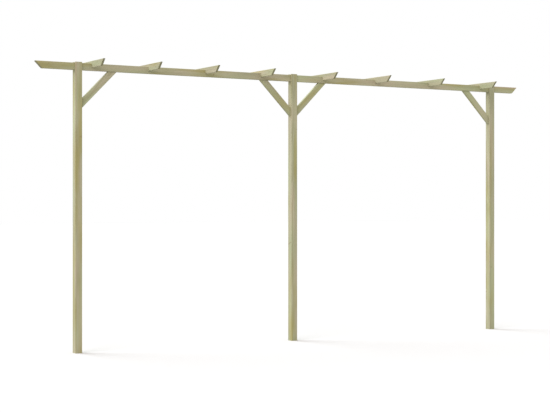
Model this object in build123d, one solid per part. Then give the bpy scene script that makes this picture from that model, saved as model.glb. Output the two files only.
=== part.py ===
from build123d import *
import math
import os

# Wooden pergola: three square posts in one row carry a beam, short rafters lie
# across the beam, and four 45 degree braces stiffen the posts.
# Millimetres. +X runs along the beam, +Y across it and +Z up, from the centre of
# the middle post's foot.

# Posts
post_side = 50.0
cheek_thickness = 8.5
post_rise = 6.0
left_bay = 1716.0
right_bay = 1882.0

# Beam, in two lengths that butt over the middle post
headroom = 1929.0
beam_depth = 49.0
left_overhang = 306.0
right_overhang = 267.0

# Rafters, each with a notch that drops over the beam
rafter_length = 434.0
rafter_depth = 47.0
rafter_thickness = 15.0
rafter_rise = 18.0
left_post_to_rafter = 105.0
middle_post_to_left_rafter = 278.0
middle_post_to_right_rafter = 258.0
right_post_to_rafter = 115.0
# Where a bay's four rafters lie, as shares of the run from its first to its last
rafter_shares = (0.0, 0.32, 0.6575, 1.0)

# Braces
brace_reach = 262.0
brace_width = 47.0
brace_thickness = 20.0

# Cuts, fits and planed edges
end_angle = 45.0
joint_clearance = 0.3
arris_radius = 2.0

# Sizes that follow from the ones above
slot_width = post_side - 2 * cheek_thickness
beam_thickness = slot_width - 2 * joint_clearance
beam_top = headroom + beam_depth
post_height = beam_top + post_rise
left_post_x = -left_bay
middle_post_x = 0.0
right_post_x = right_bay
left_tip_x = left_post_x - left_overhang
right_tip_x = right_post_x + right_overhang
end_slope = math.tan(math.radians(end_angle))

standing = (Align.CENTER, Align.CENTER, Align.MIN)


def board_along_x(outline, thickness):
    """A board whose side view in X and Z is the outline, centred on Y = 0."""
    face = make_face(Plane.XZ * Polyline(*outline, close=True))
    return extrude(face, amount=thickness / 2, both=True)


def board_along_y(outline, thickness):
    """A board whose side view in Y and Z is the outline, centred on X = 0."""
    face = make_face(Plane.YZ * Polyline(*outline, close=True))
    return extrude(face, amount=thickness / 2, both=True)


def with_planed_edges(board, direction):
    """The board with its long edges, those along the direction, rounded as by a planer."""
    return fillet(board.edges().filter_by(Axis((0, 0, 0), direction)), arris_radius)


def post(centre_x):
    """A square post with an open slot in its top, in which the beam lies."""
    shaft = with_planed_edges(Box(post_side, post_side, post_height, align=standing), (0, 0, 1))
    slot = Box(2 * post_side, slot_width, post_height - headroom, align=standing)
    return Pos(centre_x, 0, 0) * (shaft - Pos(0, 0, headroom) * slot)


def beam(tip_x):
    """Half of the beam, from the middle post's centre to a tip that is cut back below."""
    side = math.copysign(1.0, tip_x)
    heel_x = tip_x - side * beam_depth * end_slope
    outline = [
        (middle_post_x, headroom),
        (heel_x, headroom),
        (tip_x, beam_top),
        (middle_post_x, beam_top),
    ]
    return with_planed_edges(board_along_x(outline, beam_thickness), (1, 0, 0))


def rafter(centre_x):
    """A short board across the beam, notched underneath, with ends cut back below."""
    top = beam_top + rafter_rise
    bottom = top - rafter_depth
    tip = rafter_length / 2
    heel = tip - rafter_depth * end_slope
    outline = [(-tip, top), (-heel, bottom), (heel, bottom), (tip, top)]
    board = with_planed_edges(board_along_y(outline, rafter_thickness), (0, 1, 0))
    notch = Box(2 * rafter_thickness, slot_width, beam_top - bottom, align=standing)
    return Pos(centre_x, 0, 0) * (board - Pos(0, 0, bottom) * notch)


def brace(post_x, side):
    """A brace at 45 degrees, cut plumb against the post and level under the beam."""
    post_face_x = post_x + side * post_side / 2
    cut_length = brace_width * math.sqrt(2)
    outline = [
        (post_face_x, headroom - brace_reach),
        (post_face_x + side * brace_reach, headroom),
        (post_face_x + side * (brace_reach - cut_length), headroom),
        (post_face_x, headroom - brace_reach + cut_length),
    ]
    return with_planed_edges(board_along_x(outline, brace_thickness), (side, 0, 1))


def rafter_centres():
    """The rafters' places along the beam, from left to right."""
    runs = [
        (left_post_x + left_post_to_rafter, middle_post_x - middle_post_to_left_rafter),
        (middle_post_x + middle_post_to_right_rafter, right_post_x - right_post_to_rafter),
    ]
    return [first + share * (last - first) for first, last in runs for share in rafter_shares]


nodes = {
    "left_post": post(left_post_x),
    "middle_post": post(middle_post_x),
    "right_post": post(right_post_x),
    "left_beam": beam(left_tip_x),
    "right_beam": beam(right_tip_x),
    "left_post_brace": brace(left_post_x, 1),
    "middle_post_left_brace": brace(middle_post_x, -1),
    "middle_post_right_brace": brace(middle_post_x, 1),
    "right_post_brace": brace(right_post_x, -1),
}
for number, centre_x in enumerate(rafter_centres(), start=1):
    nodes[f"rafter_{number}"] = rafter(centre_x)

os.makedirs("parts", exist_ok=True)
for name, solid in nodes.items():
    export_step(solid, f"parts/{name}.step")
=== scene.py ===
import math

import bpy
import numpy as np
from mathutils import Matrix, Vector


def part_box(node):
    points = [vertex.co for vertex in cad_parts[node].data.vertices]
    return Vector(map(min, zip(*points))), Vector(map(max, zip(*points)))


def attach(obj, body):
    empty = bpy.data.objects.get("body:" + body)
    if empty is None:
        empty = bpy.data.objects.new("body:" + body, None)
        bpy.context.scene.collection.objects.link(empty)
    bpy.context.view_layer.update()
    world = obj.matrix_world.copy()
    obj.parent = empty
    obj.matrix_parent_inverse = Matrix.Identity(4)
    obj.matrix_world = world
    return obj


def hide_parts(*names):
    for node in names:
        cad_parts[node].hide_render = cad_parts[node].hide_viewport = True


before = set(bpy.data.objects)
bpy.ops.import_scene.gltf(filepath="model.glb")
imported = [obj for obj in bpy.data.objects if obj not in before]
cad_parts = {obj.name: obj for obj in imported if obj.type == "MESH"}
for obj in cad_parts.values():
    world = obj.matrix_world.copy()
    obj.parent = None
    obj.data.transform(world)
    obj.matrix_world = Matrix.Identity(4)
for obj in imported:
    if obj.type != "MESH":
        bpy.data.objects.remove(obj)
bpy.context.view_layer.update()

# Wooden pergola in planed, pressure-treated pine. Every board of the frame gets a skin with round
# arrises, grain and sawn ends, and the screws are added.
# Metres. The boards' lengths, depths and places come from the frame.

# The pieces by kind. The number is 1 where a piece runs to the right of its post, else -1.
post_names = ("left_post", "middle_post", "right_post")
beam_sides = {"left_beam": -1, "right_beam": 1}
brace_sides = {
    "left_post_brace": 1,
    "middle_post_left_brace": -1,
    "middle_post_right_brace": 1,
    "right_post_brace": -1,
}
rafter_names = [f"rafter_{number}" for number in range(1, 9)]

# Sizes that the frame's boxes don't give: the braces' depth, and the clearance round the beam.
brace_depth = 0.047
joint_gap = 0.0003

# The planed faces lie this far inside the solid's, and each beam stops this far short of the
# butt joint over the middle post.
planing = 0.00015
butt_gap = 0.0004

# An arris, the strip beside it that keeps the faces flat, and the line of the square corner that
# comes to lie a quarter of the way round it. Sharper turns than the last angle stay sharp.
arris_radius = 0.002
arris_support = 0.0012
quarter_line = math.tan(math.radians(22.5))
sharp_angle = math.radians(35)

# The widest steps of a skin across and along, and the run over which a slanted end fades out.
face_pitch = 0.011
length_pitch = 0.022
end_fade = 0.1

# How a board lies in its log: the pith's distance from its edge, the slope between the two, and
# the length of log that the boards come from.
pith_aside = (0.008, 0.028)
pith_slope = (0.004, 0.012)
log_run = 40.0

# How far a board's brightness and tints stray from those of its kind.
shade_spread = 0.03
tint_spread = 0.05

# Seeds for the logs that each kind of board is sawn from.
post_logs = 32
beam_logs = 29
rafter_logs = 70
brace_logs = 12

# Screw heads with a six-lobed drive, each turned a little further than the last.
head_radius = 0.0038
head_depth = 0.0022
drive_radius = 0.00165
drive_depth = 0.0014
lobe_height = 0.00028
lobe_count = 6
points_round = 24
head_turn = 0.7

# Where screws sit: along a brace from its tip, and either side of the beams' butt joint.
brace_screw_inset = 0.034
butt_screw_offset = 0.013

# The camera stands in front of the left bay and looks level along a slanting line. Its lens and
# sensor are in millimetres.
camera_place = (-5.2742, -8.7048, 1.0023)
camera_turn = math.radians(30.47)
camera_lens = 89.33
camera_sensor = 36.0
camera_reach = 200.0

# How wide each lamp looks from the object, and how far the floor runs from the middle post.
lamp_angle = math.radians(40)
floor_reach = 60.0


def linear(hex_colour):
    """Linear red, green, blue and alpha of an sRGB hex colour."""
    channels = [int(hex_colour[at:at + 2], 16) / 255 for at in (0, 2, 4)]
    return [c / 12.92 if c <= 0.04045 else ((c + 0.055) / 1.055) ** 2.4 for c in channels] + [1.0]


def scale_for(across, along):
    """Scale of a pattern that follows the grain, from how wide and how long its marks are in mm."""
    return (1000 / across, 1000 / across, 1000 / along)


def add(tree, kind, inputs=None, out=0, **settings):
    """Adds a node with its settings, sets or links its inputs, and gives one output.

    Inputs go by name or number. In a Map Range, 1 and 2 are the range read and 3 and 4 the range
    given. In a Mix of colours, 0 is the share, 6 the first colour and 7 the second.
    """
    made = tree.nodes.new(kind)
    for name, value in settings.items():
        setattr(made, name, value)
    for name, source in (inputs or {}).items():
        if isinstance(source, bpy.types.NodeSocket):
            tree.links.new(source, made.inputs[name])
        else:
            made.inputs[name].default_value = source
    return made.outputs[out] if len(made.outputs) else made


def new_material(name):
    """An empty node material and its tree."""
    material = bpy.data.materials.new(name)
    material.use_nodes = True
    material.node_tree.nodes.clear()
    return material, material.node_tree


def grain_fields(tree):
    """Where a point lies in the log, and the rings and knots there.

    The "grain" attribute holds metres from the pith: two across it and one along it. The
    distance from the pith, warped a little, is cut into rings. Knots are cells in the angle
    about the pith and the length along it, so each one runs out from the pith as a branch
    does, and the rings swell round it.
    """
    ring_pitch = 0.0034
    pith_wander = 0.016
    whorl_pitch = 0.21
    knot_angle = 0.95
    knot_rise = 0.35
    knotless_share = 0.8
    smallest_knot = 0.0004
    largest_knot = 0.0075
    swell_height = 1.4
    swell_fade = 0.45

    grain = add(tree, "ShaderNodeAttribute", out="Vector", attribute_name="grain")
    slow_place = add(tree, "ShaderNodeVectorMath", {0: grain, 1: scale_for(across=111, along=625)},
                     operation="MULTIPLY")
    slow = add(tree, "ShaderNodeTexNoise", {"Vector": slow_place, "Scale": 1.0, "Detail": 2.0}, out="Color")
    centred = add(tree, "ShaderNodeVectorMath", {0: slow, 1: (0.5, 0.5, 0.5)}, operation="SUBTRACT")
    shift = add(tree, "ShaderNodeVectorMath", {0: centred, 1: (pith_wander, pith_wander, 0.0)},
                operation="MULTIPLY")
    warped = add(tree, "ShaderNodeVectorMath", {0: grain, 1: shift}, operation="ADD")
    parts = add(tree, "ShaderNodeSeparateXYZ", {0: warped}, out="X").node.outputs
    flat = add(tree, "ShaderNodeVectorMath", {0: warped, 1: (1.0, 1.0, 0.0)}, operation="MULTIPLY")
    radius = add(tree, "ShaderNodeVectorMath", {0: flat}, out="Value", operation="LENGTH")
    angle = add(tree, "ShaderNodeMath", {0: parts["Y"], 1: parts["X"]}, operation="ARCTAN2")

    # A cell is one branch: its size is by chance, and most are too small to see.
    climb = add(tree, "ShaderNodeMath", {0: radius, 1: -knot_rise, 2: parts["Z"]}, operation="MULTIPLY_ADD")
    along = add(tree, "ShaderNodeMath", {0: climb, 1: 1 / whorl_pitch}, operation="MULTIPLY")
    about = add(tree, "ShaderNodeMath", {0: angle, 1: 1 / knot_angle}, operation="MULTIPLY")
    cell_place = add(tree, "ShaderNodeCombineXYZ", {0: along, 1: about})
    cell = add(tree, "ShaderNodeTexVoronoi", {"Vector": cell_place, "Scale": 1.0, "Randomness": 0.8},
               voronoi_dimensions="2D").node.outputs
    offset = add(tree, "ShaderNodeVectorMath", {0: cell_place, 1: cell["Position"]}, operation="SUBTRACT")
    swing = add(tree, "ShaderNodeMath", {0: radius, 1: knot_angle}, operation="MULTIPLY")
    reach = add(tree, "ShaderNodeCombineXYZ", {0: whorl_pitch, 1: swing})
    true_offset = add(tree, "ShaderNodeVectorMath", {0: offset, 1: reach}, operation="MULTIPLY")
    distance = add(tree, "ShaderNodeVectorMath", {0: true_offset}, out="Value", operation="LENGTH")
    chance = add(tree, "ShaderNodeSeparateColor", {0: cell["Color"]}, out="Red")
    size = add(tree, "ShaderNodeMapRange",
               {0: chance, 1: knotless_share, 2: 1.0, 3: smallest_knot, 4: largest_knot})
    share = add(tree, "ShaderNodeMath", {0: distance, 1: size}, operation="DIVIDE")

    # Rings swell past a knot and the swell dies away with the distance in knot sizes.
    faded = add(tree, "ShaderNodeMath", {0: share, 1: -swell_fade}, operation="MULTIPLY")
    fade = add(tree, "ShaderNodeMath", {0: faded}, operation="EXPONENT")
    swell = add(tree, "ShaderNodeMath", {0: fade, 1: size}, operation="MULTIPLY")
    swollen = add(tree, "ShaderNodeMath", {0: swell, 1: -swell_height, 2: radius}, operation="MULTIPLY_ADD")
    turns = add(tree, "ShaderNodeMath", {0: swollen, 1: 1 / ring_pitch}, operation="MULTIPLY")
    ring = add(tree, "ShaderNodeMath", {0: turns}, operation="FRACT")

    # Latewood darkens slowly over a ring and ends sharply where the next ring begins.
    rise = add(tree, "ShaderNodeMapRange", {0: ring, 1: 0.3, 2: 0.9}, interpolation_type="SMOOTHSTEP")
    drop = add(tree, "ShaderNodeMapRange", {0: ring, 1: 0.93, 2: 1.0, 3: 1.0, 4: 0.0})
    late = add(tree, "ShaderNodeMath", {0: rise, 1: drop}, operation="MULTIPLY")

    # A knot has a soft edge, and a rim of bark about that edge.
    knot = add(tree, "ShaderNodeMapRange", {0: share, 1: 0.8, 2: 1.05, 3: 1.0, 4: 0.0})
    rim_gap = add(tree, "ShaderNodeMath", {0: share, 1: 1.0}, operation="SUBTRACT")
    rim_far = add(tree, "ShaderNodeMath", {0: rim_gap}, operation="ABSOLUTE")
    rim = add(tree, "ShaderNodeMapRange", {0: rim_far, 1: 0.02, 2: 0.22, 3: 1.0, 4: 0.0})
    return {"grain": grain, "warped": warped, "radius": radius, "angle": angle, "late": late,
            "knot": knot, "rim": rim}


def planed_pine():
    """Pressure-treated pine, planed: pale olive sapwood with tan heartwood.

    The copper salts turn the sapwood green and leave the heartwood tan to pink, so the eye
    sees long soft patches of green, tan and olive, fine latewood lines, a few small knots, and
    close up the ripple that the planer's knives leave every 1.8 mm.
    """
    tan_sapwood = linear("B4A78A")
    green_sapwood = linear("A6A880")
    olive_sapwood = linear("A1975C")
    heartwood = linear("B39F81")
    latewood = linear("8C8258")
    knot_wood = linear("8A6E4A")
    knot_bark = linear("6A563A")
    heart_radius = 0.014
    heart_edge = 0.022
    latewood_strength = 0.4
    knot_strength = 0.45
    bark_strength = 0.35
    knife_pitch = 0.0018
    relief = 0.00025

    material, tree = new_material("pressure_treated_planed_pine")
    fields = grain_fields(tree)
    tone = add(tree, "ShaderNodeAttribute", out="Vector", attribute_name="tone")
    board_tone = add(tree, "ShaderNodeSeparateXYZ", {0: tone}, out="X").node.outputs

    # Soft patches half a metre long, one channel each for the green, the olive and the shade.
    patch_place = add(tree, "ShaderNodeVectorMath",
                      {0: fields["grain"], 1: scale_for(across=59, along=455)}, operation="MULTIPLY")
    patch = add(tree, "ShaderNodeTexNoise", {"Vector": patch_place, "Scale": 1.0, "Detail": 3.0}, out="Color")
    patches = add(tree, "ShaderNodeSeparateColor", {0: patch}, out="Red").node.outputs
    greened = add(tree, "ShaderNodeMath", {0: patches["Red"], 1: board_tone["Y"]}, operation="ADD")
    green = add(tree, "ShaderNodeMapRange", {0: greened, 1: 0.34, 2: 0.66})
    fresh = add(tree, "ShaderNodeMix", {0: green, 6: tan_sapwood, 7: green_sapwood},
                out=2, data_type="RGBA")
    aged = add(tree, "ShaderNodeMath", {0: patches["Green"], 1: board_tone["Z"]}, operation="ADD")
    olive = add(tree, "ShaderNodeMapRange", {0: aged, 1: 0.42, 2: 0.68, 3: 0.0, 4: 0.9},
                interpolation_type="SMOOTHSTEP")
    sapwood = add(tree, "ShaderNodeMix", {0: olive, 6: fresh, 7: olive_sapwood}, out=2, data_type="RGBA")
    heart = add(tree, "ShaderNodeMapRange", {0: fields["radius"], 1: heart_edge, 2: heart_radius},
                interpolation_type="SMOOTHSTEP")
    ground = add(tree, "ShaderNodeMix", {0: heart, 6: sapwood, 7: heartwood}, out=2, data_type="RGBA")

    # Latewood, knots and their rims lie over that ground, each by its own strength.
    late_share = add(tree, "ShaderNodeMath", {0: fields["late"], 1: latewood_strength}, operation="MULTIPLY")
    ringed = add(tree, "ShaderNodeMix", {0: late_share, 6: ground, 7: latewood}, out=2, data_type="RGBA")
    knot_share = add(tree, "ShaderNodeMath", {0: fields["knot"], 1: knot_strength}, operation="MULTIPLY")
    knotted = add(tree, "ShaderNodeMix", {0: knot_share, 6: ringed, 7: knot_wood}, out=2, data_type="RGBA")
    rim_share = add(tree, "ShaderNodeMath", {0: fields["rim"], 1: bark_strength}, operation="MULTIPLY")
    rimmed = add(tree, "ShaderNodeMix", {0: rim_share, 6: knotted, 7: knot_bark}, out=2, data_type="RGBA")

    # Single rings are too fine to show from the camera, so streaks of a few rings are drawn too.
    streak_place = add(tree, "ShaderNodeVectorMath",
                       {0: fields["warped"], 1: scale_for(across=10.5, along=500)}, operation="MULTIPLY")
    streak = add(tree, "ShaderNodeTexNoise", {"Vector": streak_place, "Scale": 1.0, "Detail": 4.0})
    # A fibre is 0.03 mm wide, too fine to show close up, so bundles of fibres are drawn.
    fibre_place = add(tree, "ShaderNodeVectorMath",
                      {0: fields["warped"], 1: scale_for(across=0.67, along=38.5)}, operation="MULTIPLY")
    fibre = add(tree, "ShaderNodeTexNoise", {"Vector": fibre_place, "Scale": 1.0, "Detail": 2.0})
    streaked = add(tree, "ShaderNodeMapRange", {0: streak, 1: 0.25, 2: 0.75, 3: 0.92, 4: 1.08})
    fine = add(tree, "ShaderNodeMapRange", {0: fibre, 1: 0.3, 2: 0.7, 3: 0.95, 4: 1.05})
    slow = add(tree, "ShaderNodeMapRange", {0: patches["Blue"], 1: 0.3, 2: 0.7, 3: 0.91, 4: 1.11})
    both = add(tree, "ShaderNodeMath", {0: streaked, 1: fine}, operation="MULTIPLY")
    slowed = add(tree, "ShaderNodeMath", {0: both, 1: slow}, operation="MULTIPLY")
    toned = add(tree, "ShaderNodeMath", {0: slowed, 1: board_tone["X"]}, operation="MULTIPLY")
    colour = add(tree, "ShaderNodeVectorMath", {0: rimmed, 3: toned}, operation="SCALE")

    # Latewood, fibres, knots and the planer's ripple stand proud by shares of the relief.
    late_height = add(tree, "ShaderNodeMath", {0: fields["late"], 1: 0.45}, operation="MULTIPLY")
    fibre_height = add(tree, "ShaderNodeMath", {0: fibre, 1: 0.5, 2: late_height}, operation="MULTIPLY_ADD")
    along = add(tree, "ShaderNodeSeparateXYZ", {0: fields["grain"]}, out="Z")
    phase = add(tree, "ShaderNodeMath", {0: along, 1: 2 * math.pi / knife_pitch}, operation="MULTIPLY")
    ripple = add(tree, "ShaderNodeMath", {0: phase}, operation="SINE")
    rippled = add(tree, "ShaderNodeMath", {0: ripple, 1: 0.03, 2: fibre_height}, operation="MULTIPLY_ADD")
    height = add(tree, "ShaderNodeMath", {0: fields["knot"], 1: 0.8, 2: rippled}, operation="MULTIPLY_ADD")
    normal = add(tree, "ShaderNodeBump", {"Height": height, "Strength": 0.6, "Distance": relief})
    rough = add(tree, "ShaderNodeMapRange", {0: streak, 1: 0.2, 2: 0.8, 3: 0.58, 4: 0.74})
    surface = add(tree, "ShaderNodeBsdfPrincipled",
                  {"Base Color": colour, "Roughness": rough, "Normal": normal, "IOR": 1.5})
    add(tree, "ShaderNodeOutputMaterial", {"Surface": surface})
    return material


def sawn_end_grain():
    """The same pine sawn across: darker and greener, since the ends soak up more salts.

    The eye sees the rings as arcs, and a few fine drying checks that run out from the pith.
    """
    earlywood = linear("9A946E")
    latewood = linear("6E6846")
    latewood_strength = 0.55
    check_spacing = math.radians(2.2)
    check_length = 0.071
    check_level = 0.64
    check_width = 0.03
    check_brightness = 0.55
    relief = 0.0004

    material, tree = new_material("pressure_treated_sawn_end_grain")
    fields = grain_fields(tree)
    late_share = add(tree, "ShaderNodeMath", {0: fields["late"], 1: latewood_strength}, operation="MULTIPLY")
    ringed = add(tree, "ShaderNodeMix", {0: late_share, 6: earlywood, 7: latewood}, out=2, data_type="RGBA")

    # Cut fibre ends are too fine to show close up, so the saw's torn tufts of them are drawn.
    tuft_place = add(tree, "ShaderNodeVectorMath", {0: fields["grain"], 1: scale_for(across=1.4, along=1.4)},
                     operation="MULTIPLY")
    tuft = add(tree, "ShaderNodeTexNoise", {"Vector": tuft_place, "Scale": 1.0, "Detail": 3.0})
    tufted = add(tree, "ShaderNodeMapRange", {0: tuft, 1: 0.25, 2: 0.75, 3: 0.84, 4: 1.12})

    # A check lies where noise in the angle and the radius passes one level.
    turned = add(tree, "ShaderNodeMath", {0: fields["angle"], 1: 1 / check_spacing}, operation="MULTIPLY")
    outward = add(tree, "ShaderNodeMath", {0: fields["radius"], 1: 1 / check_length}, operation="MULTIPLY")
    check_place = add(tree, "ShaderNodeCombineXYZ", {0: turned, 1: outward})
    split = add(tree, "ShaderNodeTexNoise", {"Vector": check_place, "Scale": 1.0, "Detail": 1.0})
    split_gap = add(tree, "ShaderNodeMath", {0: split, 1: check_level}, operation="SUBTRACT")
    split_far = add(tree, "ShaderNodeMath", {0: split_gap}, operation="ABSOLUTE")
    check = add(tree, "ShaderNodeMapRange",
                {0: split_far, 1: 0.0, 2: check_width, 3: check_brightness, 4: 1.0})

    shade = add(tree, "ShaderNodeMath", {0: tufted, 1: check}, operation="MULTIPLY")
    colour = add(tree, "ShaderNodeVectorMath", {0: ringed, 3: shade}, operation="SCALE")
    height = add(tree, "ShaderNodeMath", {0: fields["late"], 1: 0.5, 2: tuft}, operation="MULTIPLY_ADD")
    normal = add(tree, "ShaderNodeBump", {"Height": height, "Strength": 0.8, "Distance": relief})
    surface = add(tree, "ShaderNodeBsdfPrincipled",
                  {"Base Color": colour, "Roughness": 0.86, "Normal": normal, "IOR": 1.45})
    add(tree, "ShaderNodeOutputMaterial", {"Surface": surface})
    return material


def zinc_plate():
    """Zinc-plated steel, stamped and tumbled: pale, a little yellow, with soft dull patches."""
    bright_zinc = linear("C9C6B6")
    dull_zinc = linear("A8A48F")
    patch_size = 0.0011

    material, tree = new_material("zinc_plated_steel")
    place = add(tree, "ShaderNodeTexCoord", out="Object")
    dull = add(tree, "ShaderNodeTexNoise", {"Vector": place, "Scale": 1 / patch_size, "Detail": 2.0})
    colour = add(tree, "ShaderNodeMix", {0: dull, 6: bright_zinc, 7: dull_zinc}, out=2, data_type="RGBA")
    rough = add(tree, "ShaderNodeMapRange", {0: dull, 1: 0.3, 2: 0.7, 3: 0.28, 4: 0.46})
    surface = add(tree, "ShaderNodeBsdfPrincipled",
                  {"Base Color": colour, "Roughness": rough, "Metallic": 1.0})
    add(tree, "ShaderNodeOutputMaterial", {"Surface": surface})
    return material


def filled(fixed, pitch):
    """Grid lines through the fixed values, with even steps of at most the pitch between them."""
    runs = [np.linspace(low, high, max(1, math.ceil((high - low) / pitch)) + 1)[:-1]
            for low, high in zip(fixed[:-1], fixed[1:])]
    return np.concatenate(runs + [[fixed[-1]]])


def edge_lines(low, high):
    """The lines that a rounded arris needs at both sides of a board."""
    steps = np.array([0.0, 1 - quarter_line, 1.0]) * arris_radius
    steps = np.append(steps, arris_radius + arris_support)
    return np.concatenate([low + steps, (high - steps)[::-1]])


def with_lines(lines, extra):
    """The lines with extra ones put in their order."""
    return np.unique(np.concatenate([lines, extra]))


def skin_of_cells(kept):
    """Corner numbers of the outer quads of a block of cells, and the axis that each faces.

    A quad lies wherever a kept cell meets none, found as the steps of the padded block along
    each axis, and its corners run anticlockwise seen from outside.
    """
    shape = np.array(kept.shape) + 1
    padded = np.pad(kept.astype(np.int8), 1)
    turns_by_step = {-1: ((0, 0), (1, 0), (1, 1), (0, 1)), 1: ((0, 0), (0, 1), (1, 1), (1, 0))}
    quads = []
    axes = []
    for axis in range(3):
        trim = [slice(1, -1)] * 3
        trim[axis] = slice(None)
        steps = np.diff(padded, axis=axis)[tuple(trim)]
        one, two = (axis + 1) % 3, (axis + 2) % 3
        for step, turns in turns_by_step.items():
            base = np.argwhere(steps == step)
            corners = np.repeat(base[:, None, :], 4, axis=1)
            corners[:, :, one] += np.array([turn[0] for turn in turns])
            corners[:, :, two] += np.array([turn[1] for turn in turns])
            quads.append(np.ravel_multi_index(tuple(np.moveaxis(corners, 2, 0)), shape))
            axes.append(np.full(len(base), axis))
    return np.concatenate(quads), np.concatenate(axes)


def rounded(across, through, depth, thickness):
    """A board's section with round arrises.

    Within a radius of both sides, a point of the square corner is drawn in along its line to
    the corner's centre by its greater offset over its distance, which turns square into round.
    """
    centre = depth / 2
    wide = np.maximum(np.abs(across - centre) - (centre - arris_radius), 0)
    deep = np.maximum(np.abs(through) - (thickness / 2 - arris_radius), 0)
    far = np.hypot(wide, deep)
    pull = np.where(far > 0, np.maximum(wide, deep) / np.where(far > 0, far, 1), 1)
    across = centre + np.sign(across - centre) * (np.abs(across - centre) - wide + wide * pull)
    through = np.sign(through) * (np.abs(through) - deep + deep * pull)
    return across, through


def placed(name, data):
    """A new object of the data, in the scene and at the origin."""
    made = bpy.data.objects.new(name, data)
    bpy.context.scene.collection.objects.link(made)
    return made


def smoothed(mesh):
    """The mesh shaded smooth, except at its sharp edges."""
    mesh.shade_smooth()
    mesh.set_sharp_from_angle(angle=sharp_angle)
    return mesh


def board(name, length, depth, thickness, start, axes, materials, luck, cuts=(0.0, 0.0), gap=None,
          marks=((), (), ()), shade=1.0, green=0.0, olive=0.0):
    """A planed board as one closed skin.

    Its points are a grid over length, depth and thickness. The section is planed a little and
    rounded, and each end is cut back by its slope times the depth, fading out along the board.
    The gap takes cells away, for a slot or a notch, along the marked lines. The grain attribute
    is the place relative to a pith beside the board, and tone is the board's own brightness,
    green and olive.
    """
    sides = (planing, depth - planing)
    faces = (-thickness / 2 + planing, thickness / 2 - planing)
    lines = [
        filled(with_lines(np.array([0.0, length]), marks[0]), length_pitch),
        filled(with_lines(edge_lines(*sides), marks[1]), face_pitch),
        filled(with_lines(edge_lines(*faces), marks[2]), face_pitch),
    ]
    middles = np.meshgrid(*[(line[:-1] + line[1:]) / 2 for line in lines], indexing="ij")
    kept = np.ones(middles[0].shape, bool) if gap is None else ~gap(*middles)
    quads, facing = skin_of_cells(kept)

    along, across, through = np.meshgrid(*lines, indexing="ij")
    across, through = rounded(across - planing, through, depth - 2 * planing, thickness - 2 * planing)
    across = across + planing
    near = np.clip(1 - along / end_fade, 0, 1)
    far = np.clip(1 - (length - along) / end_fade, 0, 1)
    along = along + cuts[0] * across * near - cuts[1] * across * far
    local = np.stack([along.ravel(), across.ravel(), through.ravel()], axis=1)

    used, numbers = np.unique(quads, return_inverse=True)
    quads = numbers.reshape(quads.shape)
    local = local[used]
    points = np.array(start) + local @ np.array(axes)

    mesh = bpy.data.meshes.new(name)
    mesh.from_pydata(points, [], quads)
    for material in materials:
        mesh.materials.append(material)
    mesh.polygons.foreach_set("material_index", (facing == 0).astype(np.int32))
    smoothed(mesh)

    turn = luck.uniform(0, 2 * math.pi)
    aside = math.hypot(depth, thickness) / 2 + luck.uniform(*pith_aside)
    lean = luck.uniform(*pith_slope) * luck.choice([-1, 1])
    offset = local[:, 1:] - (depth / 2, 0)
    outward = offset @ (math.cos(turn), math.sin(turn)) + aside
    sideways = offset @ (-math.sin(turn), math.cos(turn))
    grain = np.stack([outward + lean * (local[:, 0] - length / 2), sideways,
                      local[:, 0] + luck.uniform(0, log_run)], axis=1)
    own_tone = [
        shade * luck.uniform(1 - shade_spread, 1 + shade_spread),
        green + luck.uniform(-tint_spread, tint_spread),
        olive + luck.uniform(-tint_spread, tint_spread),
    ]
    tone = np.tile(own_tone, (len(local), 1))
    for title, values in (("grain", grain), ("tone", tone)):
        layer = mesh.attributes.new(title, "FLOAT_VECTOR", "POINT")
        layer.data.foreach_set("vector", values.ravel())
    mesh.update()
    piece = placed(name, mesh)
    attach(piece, "root")
    return piece


def one_head():
    """Points and faces of a screw head about the Z axis, with its top at about nought.

    It is rings round the axis, each with its radius and height, where the drive's radius swings
    with the lobe count times the angle. One fan closes the drive's floor and one the back.
    """
    angle = np.linspace(0, 2 * math.pi, points_round, endpoint=False)
    drive = drive_radius + lobe_height * np.cos(lobe_count * angle)
    plain = np.ones_like(angle)
    # From the drive's floor up to its lip, over the crown, round the rim and in at the back
    rings = [
        (0.3 * drive, -drive_depth),
        (drive, -0.0013),
        (1.04 * drive, 0.00009),
        (0.0032 * plain, 0.00013),
        (0.0037 * plain, 0.00008),
        (head_radius * plain, -0.0003),
        (0.0022 * plain, -head_depth),
    ]
    radius = np.stack([ring[0] for ring in rings])
    height = np.stack([ring[1] * plain for ring in rings])
    points = np.stack([radius * np.cos(angle), radius * np.sin(angle), height], axis=2).reshape(-1, 3)
    points = np.vstack([points, [[0, 0, -drive_depth], [0, 0, -head_depth]]])

    at = np.arange(points_round)
    after = (at + 1) % points_round
    walls = []
    for number in range(len(rings) - 1):
        low = number * points_round
        high = low + points_round
        walls.append(np.stack([low + at, high + at, high + after, low + after], axis=1))
    last = (len(rings) - 1) * points_round
    floor_centre = np.full(points_round, len(rings) * points_round)
    caps = [
        np.stack([at, after, floor_centre], axis=1),
        np.stack([last + after, last + at, floor_centre + 1], axis=1),
    ]
    return points, np.concatenate(walls), np.concatenate(caps)


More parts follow.
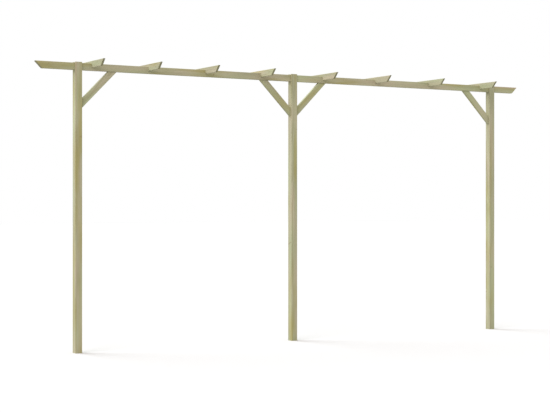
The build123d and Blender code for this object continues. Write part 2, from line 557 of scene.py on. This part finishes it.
def screw_heads(name, places, material):
    """Flush screw heads as one mesh, from each head's place and the direction that it faces."""
    head, walls, caps = one_head()
    points = []
    faces = []
    for number, (place, normal) in enumerate(places):
        out = np.array(normal) / np.linalg.norm(normal)
        side = np.cross(out, (0, 1, 0) if abs(out[1]) < 0.9 else (1, 0, 0))
        side /= np.linalg.norm(side)
        spin = number * head_turn
        first = side * math.cos(spin) + np.cross(out, side) * math.sin(spin)
        points.append(np.array(place) + head @ np.stack([first, np.cross(out, first), out]))
        faces += (walls + number * len(head)).tolist() + (caps + number * len(head)).tolist()
    mesh = bpy.data.meshes.new(name)
    mesh.from_pydata(np.concatenate(points), [], faces)
    mesh.materials.append(material)
    smoothed(mesh)
    mesh.update()
    piece = placed(name, mesh)
    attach(piece, "root")
    return piece


def posts(materials, luck):
    """The three posts, standing along Z, with the slot for the beam in their tops."""
    beam_low, beam_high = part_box("left_beam")
    half_slot = (beam_high[1] - beam_low[1]) / 2 + joint_gap
    for node in post_names:
        low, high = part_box(node)
        side = high[0] - low[0]
        seat = beam_low[2] - low[2]
        piece = board(
            node + "_timber", high[2] - low[2], side, side,
            start=(low[0], (low[1] + high[1]) / 2, low[2]),
            axes=((0, 0, 1), (1, 0, 0), (0, 1, 0)),
            gap=lambda along, across, through: (along > seat) & (np.abs(through) < half_slot),
            marks=([seat], [], [-half_slot, half_slot]),
            materials=materials, luck=luck)
        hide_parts(node)


def beams(materials, luck):
    """The two halves of the beam, from the middle post out to a tip cut back below."""
    for node, side in beam_sides.items():
        low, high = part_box(node)
        piece = board(
            node + "_timber", high[0] - low[0] - butt_gap, high[2] - low[2], high[1] - low[1],
            start=(side * butt_gap, (low[1] + high[1]) / 2, high[2]),
            axes=((side, 0, 0), (0, 0, -1), (0, side, 0)),
            cuts=(0.0, 1.0), materials=materials, luck=luck)
        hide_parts(node)


def rafters(materials, luck):
    """The rafters, long edge up, notched over the beam, both ends cut back below."""
    beam_low, beam_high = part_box("left_beam")
    half_notch = (beam_high[1] - beam_low[1]) / 2 + joint_gap
    for node in rafter_names:
        low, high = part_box(node)
        length = high[1] - low[1]
        middle = length / 2
        bridge = high[2] - beam_high[2]
        piece = board(
            node + "_timber", length, high[2] - low[2], high[0] - low[0],
            start=((low[0] + high[0]) / 2, low[1], high[2]),
            axes=((0, 1, 0), (0, 0, -1), (-1, 0, 0)),
            cuts=(1.0, 1.0),
            gap=lambda along, across, through: (np.abs(along - middle) < half_notch) & (across > bridge),
            marks=([middle - half_notch, middle + half_notch], [bridge], []),
            materials=materials, luck=luck, green=0.03, olive=-0.08)
        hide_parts(node)


def braces(materials, luck):
    """The braces, long edge down and outward, both ends cut at 45 degrees."""
    slant = math.sqrt(0.5)
    for node, side in brace_sides.items():
        low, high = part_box(node)
        reach = high[0] - low[0]
        foot_x = low[0] if side > 0 else high[0]
        piece = board(
            node + "_timber", reach / slant, brace_depth, high[1] - low[1],
            start=(foot_x, (low[1] + high[1]) / 2, low[2]),
            axes=((side * slant, 0, slant), (-side * slant, 0, slant), (0, -side, 0)),
            cuts=(1.0, 1.0), materials=materials, luck=luck, shade=1.03, green=0.06)
        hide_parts(node)


def screws(material):
    """Screws: down through each rafter, from behind through the posts, and in the braces."""
    rafter_places = []
    for node in rafter_names:
        low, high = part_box(node)
        rafter_places.append((((low[0] + high[0]) / 2, 0.0, high[2] - planing), (0, 0, 1)))
    screw_heads("rafter_screws", rafter_places, material)

    # The outer posts hold one length of beam each, and the middle post holds both.
    beam_low, beam_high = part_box("left_beam")
    beam_middle_z = (beam_low[2] + beam_high[2]) / 2
    post_places = []
    for node in post_names:
        low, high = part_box(node)
        centre_x = (low[0] + high[0]) / 2
        offsets = (-butt_screw_offset, butt_screw_offset) if node == "middle_post" else (0.0,)
        post_places += [((centre_x + offset, high[1] - planing, beam_middle_z), (0, 1, 0))
                        for offset in offsets]
    screw_heads("post_screws", post_places, material)

    brace_places = []
    for node, side in brace_sides.items():
        low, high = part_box(node)
        foot = np.array([low[0] if side > 0 else high[0], 0.0, low[2]])
        head = np.array([high[0] if side > 0 else low[0], 0.0, high[2]])
        run = (head - foot) / np.linalg.norm(head - foot)
        out = np.array([side, 0.0, -1.0]) * math.sqrt(0.5)
        for place in (foot + brace_screw_inset * run, head - brace_screw_inset * run):
            brace_places.append((place - planing * out, out))
    screw_heads("brace_screws", brace_places, material)


def ray_seen(tree):
    """One for rays from the camera, in a reflection or through glass, and nought for others."""
    rays = add(tree, "ShaderNodeLightPath").node.outputs
    first = add(tree, "ShaderNodeMath", {0: rays["Is Camera Ray"], 1: rays["Is Glossy Ray"]},
                operation="MAXIMUM")
    return add(tree, "ShaderNodeMath", {0: first, 1: rays["Is Transmission Ray"]}, operation="MAXIMUM")


def floor():
    """A wide pale floor, which throws a mid grey's light on the object.

    The camera sees it in a paler tone, which the sky and the lamps bring to just white, so that
    the object's soft shadow still shows on it.
    """
    grey = linear("A0A0A0")
    seen_tone = linear("CECAC5")
    corners = floor_reach * np.array([(-1, -1, 0), (1, -1, 0), (1, 1, 0), (-1, 1, 0)])
    mesh = bpy.data.meshes.new("floor")
    mesh.from_pydata(corners, [], [(0, 1, 2, 3)])
    material, tree = new_material("pale_floor")
    colour = add(tree, "ShaderNodeMix", {0: ray_seen(tree), 6: grey, 7: seen_tone}, out=2, data_type="RGBA")
    surface = add(tree, "ShaderNodeBsdfDiffuse", {"Color": colour})
    add(tree, "ShaderNodeOutputMaterial", {"Surface": surface})
    mesh.materials.append(material)
    placed("floor", mesh)


def lamp(name, towards, strength, colour):
    """A soft lamp far away, seen from the object in the given direction.

    A white surface that faces a lamp of strength 1 renders as white.
    """
    rays = bpy.data.lights.new(name, "SUN")
    rays.angle = lamp_angle
    rays.energy = strength * math.pi
    rays.color = colour
    x, y, z = np.array(towards) / np.linalg.norm(towards)
    placed(name, rays).rotation_euler = (math.acos(z), 0, math.atan2(x, -y))


def light():
    """Even light from the whole sky, and two broad soft lamps from the left."""
    sky_tone = linear("F5F5F1")
    white = linear("FFFFFF")
    world = bpy.data.worlds.new("studio")
    bpy.context.scene.world = world
    world.use_nodes = True
    tree = world.node_tree
    tree.nodes.clear()
    tint = add(tree, "ShaderNodeMix", {0: ray_seen(tree), 6: sky_tone, 7: white}, out=2, data_type="RGBA")
    sky = add(tree, "ShaderNodeBackground", {"Color": tint, "Strength": 1.0})
    add(tree, "ShaderNodeOutputWorld", {"Surface": sky})
    lamp("back_left_lamp", towards=(-0.321, 0.557, 0.766), strength=0.79, colour=(0.88, 1.0, 1.12))
    lamp("front_left_lamp", towards=(-0.709, -0.410, 0.574), strength=0.42, colour=(1.0, 0.96, 1.18))


def camera():
    """The camera, level, so that the posts stay upright in the picture."""
    lens = bpy.data.cameras.new("camera")
    lens.sensor_fit = "HORIZONTAL"
    lens.sensor_width = camera_sensor
    lens.lens = camera_lens
    lens.clip_end = camera_reach
    holder = placed("camera", lens)
    holder.location = camera_place
    holder.rotation_euler = (math.pi / 2, 0, -camera_turn)
    bpy.context.scene.camera = holder


def main():
    """Dresses every board, adds the screws, and sets the floor, the light and the camera."""
    wood = (planed_pine(), sawn_end_grain())
    posts(wood, np.random.default_rng(post_logs))
    beams(wood, np.random.default_rng(beam_logs))
    rafters(wood, np.random.default_rng(rafter_logs))
    braces(wood, np.random.default_rng(brace_logs))
    screws(zinc_plate())
    floor()
    light()
    camera()
    bpy.context.scene.view_settings.view_transform = "Standard"


main()
